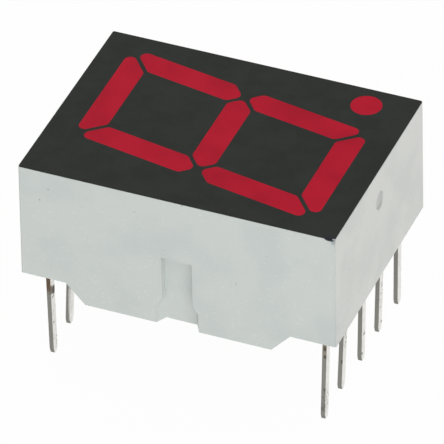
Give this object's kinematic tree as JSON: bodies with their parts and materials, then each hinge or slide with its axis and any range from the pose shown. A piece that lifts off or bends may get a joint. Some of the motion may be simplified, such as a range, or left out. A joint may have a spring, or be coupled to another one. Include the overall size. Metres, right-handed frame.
{
  "type": "seven segment display",
  "caption": "Single-digit seven segment display with red strokes and decimal point in a black face, grey moulded body and two rows of through-hole leads.",
  "frame": {"origin": "under the middle of the body, at the level of the lead tips", "axes": "+X along the digit towards its foot, +Y towards the digit's right side, +Z out of the viewing face"},
  "size_m": [0.0174, 0.0126, 0.0126],
  "materials": {
    "grey_plastic": "light grey moulded thermoplastic, matt",
    "black_print": "charcoal black printed layer, satin",
    "red_epoxy": "red tinted diffused epoxy, satin",
    "back_epoxy": "cast epoxy with a cured skin",
    "tinned_metal": "tin-plated stamped sheet, dull, with rust spots",
    "chip_crystal": "sawn semiconductor crystal",
    "bond_gold": "drawn gold wire"
  },
  "bodies": {
    "root": {"housing": "grey_plastic", "face_film": "black_print", "decimal_point": "red_epoxy", "common_lead": "tinned_metal", "back_fill": "back_epoxy", "segment_a": "red_epoxy", "segment_b": "red_epoxy", "segment_c": "red_epoxy", "segment_d": "red_epoxy", "segment_e": "red_epoxy", "segment_f": "red_epoxy", "segment_g": "red_epoxy", "lead_a": "tinned_metal", "lead_b": "tinned_metal", "lead_c": "tinned_metal", "lead_d": "tinned_metal", "lead_e": "tinned_metal", "lead_f": "tinned_metal", "lead_g": "tinned_metal", "lead_dp": "tinned_metal", "chip_a": "chip_crystal", "chip_b": "chip_crystal", "chip_c": "chip_crystal", "chip_d": "chip_crystal", "chip_e": "chip_crystal", "chip_f": "chip_crystal", "chip_g": "chip_crystal", "chip_dp": "chip_crystal", "bond_wire_a": "bond_gold", "bond_wire_b": "bond_gold", "bond_wire_c": "bond_gold", "bond_wire_d": "bond_gold", "bond_wire_e": "bond_gold", "bond_wire_f": "bond_gold", "bond_wire_g": "bond_gold", "bond_wire_dp": "bond_gold"}
  },
  "joints": []
}
